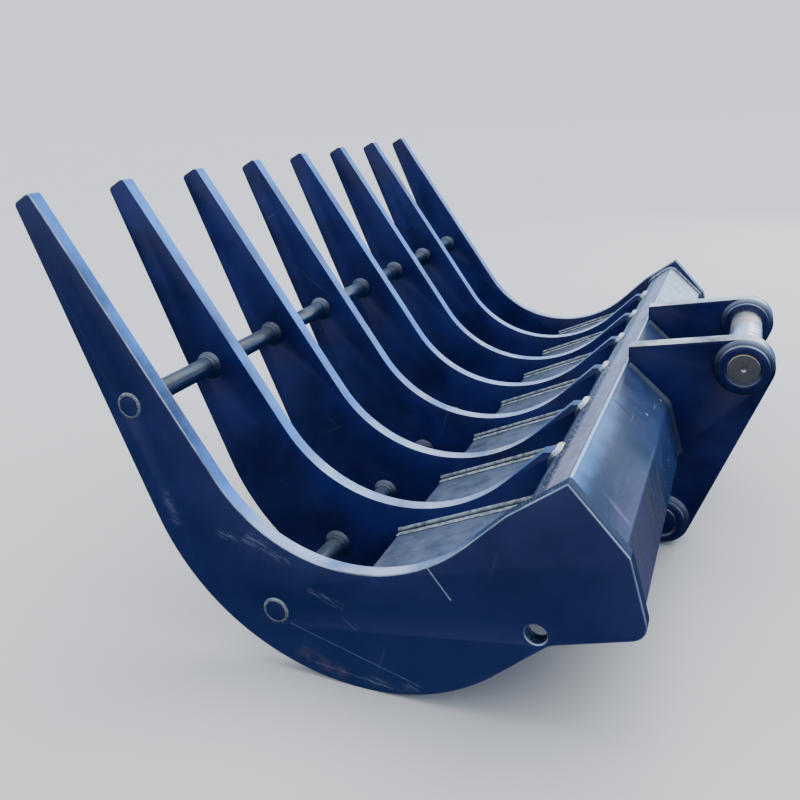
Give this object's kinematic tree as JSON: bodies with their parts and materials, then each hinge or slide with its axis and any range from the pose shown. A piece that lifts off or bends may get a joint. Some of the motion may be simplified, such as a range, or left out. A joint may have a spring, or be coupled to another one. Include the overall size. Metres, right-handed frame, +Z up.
{
  "type": "excavator root rake",
  "caption": "Curved steel root rake for an excavator: parallel tines on a box beam, tied by round bars, with pinned ears that take the stick and the bucket link.",
  "frame": {"origin": "on the stick pin's axis, midway between the ears", "axes": "+Y along the stick pin, from the near ear to the far ear; +X away from the tines, towards the machine; +Z up, with the rake standing on its tine soles and the lower ends of its ears"},
  "size_m": [1.2777, 1.856, 0.8697],
  "materials": {
    "tine_paint": "satin navy paint, scratched",
    "bar_paint": "satin navy paint, dusty on top",
    "weld_paint": "painted weld bead",
    "beam_paint": "satin blue paint under dust",
    "inner_paint": "matt navy paint",
    "floor_paint": "satin blue paint under dust",
    "ear_paint": "satin navy paint",
    "boss_paint": "satin navy paint",
    "pin_steel": "turned steel",
    "flag_steel": "satin navy paint",
    "bolt_steel": "zinc-plated steel"
  },
  "bodies": {
    "rake": {"tine_1": "tine_paint", "tine_2": "tine_paint", "tine_3": "tine_paint", "tine_4": "tine_paint", "tine_5": "tine_paint", "tine_6": "tine_paint", "tine_7": "tine_paint", "tine_8": "tine_paint", "upper_tie_bar": "bar_paint", "lower_tie_bar": "bar_paint", "upper_bar_collars": "weld_paint", "lower_bar_collars": "weld_paint", "floor_welds": "weld_paint", "ridge_plate": "beam_paint", "rear_plate": "beam_paint", "bottom_plate": "beam_paint", "beam_rib_near": "inner_paint", "beam_rib_far": "inner_paint", "floor_plate_1": "floor_paint", "floor_plate_2": "floor_paint", "floor_plate_3": "floor_paint", "floor_plate_4": "floor_paint", "floor_plate_5": "floor_paint", "floor_plate_6": "floor_paint", "floor_plate_7": "floor_paint", "ear_near": "ear_paint", "ear_far": "ear_paint", "stick_keeper_block": "ear_paint", "link_keeper_block": "ear_paint", "stick_boss_near": "boss_paint", "stick_boss_far": "boss_paint", "link_boss_near": "boss_paint", "link_boss_far": "boss_paint"},
    "stick_pin_set": {"stick_pin": "pin_steel", "stick_pin_flag": "flag_steel", "stick_keeper_bolt": "bolt_steel", "stick_keeper_washer": "bolt_steel"},
    "link_pin_set": {"link_pin": "pin_steel", "link_pin_flag": "flag_steel", "link_keeper_bolt": "bolt_steel", "link_keeper_washer": "bolt_steel"}
  },
  "joints": [
    {"name": "stick_pin_slide", "type": "slide", "parent": "rake", "child": "stick_pin_set", "axis": [0, 1, 0], "range_m": [0, 0.5]},
    {"name": "link_pin_slide", "type": "slide", "parent": "rake", "child": "link_pin_set", "axis": [0, 1, 0], "range_m": [0, 0.5]}
  ]
}
